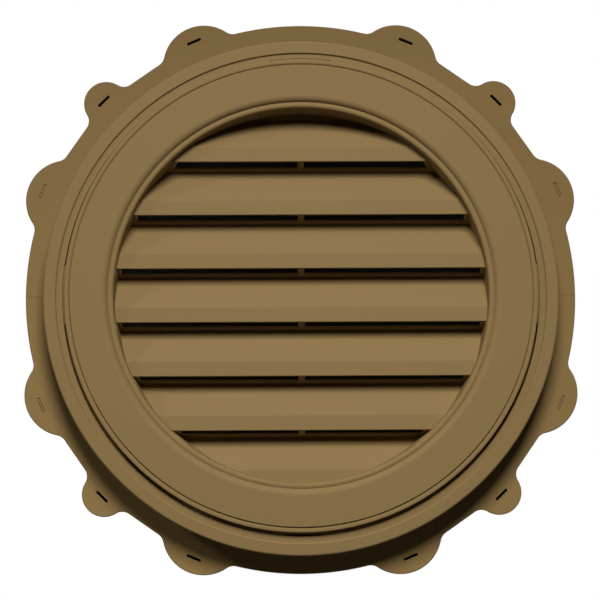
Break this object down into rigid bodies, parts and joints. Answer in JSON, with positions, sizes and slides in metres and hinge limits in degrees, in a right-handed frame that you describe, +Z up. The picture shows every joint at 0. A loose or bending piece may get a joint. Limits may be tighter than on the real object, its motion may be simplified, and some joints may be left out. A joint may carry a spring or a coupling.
{
  "type": "round gable vent",
  "caption": "Round louvred gable vent: a moulded body with a nailing flange and sloped blades, a trim ring that clips over it and traps the siding, and an insect screen behind.",
  "frame": {"origin": "the vent's axis in the wall plane, which is the back face of the nailing flange", "axes": "+X to the right and +Z up as the vent hangs, seen from in front; the vent faces -Y and its axis is the Y axis"},
  "size_m": [0.6018, 0.0475, 0.6018],
  "materials": {
    "moulded_plastic": "matte tan moulded plastic, coloured right through",
    "screen_fibre": "charcoal coated glass-fibre insect screen"
  },
  "bodies": {
    "root": {"vent_body": "moulded_plastic", "trim_ring": "moulded_plastic", "insect_screen": "screen_fibre"}
  },
  "joints": []
}
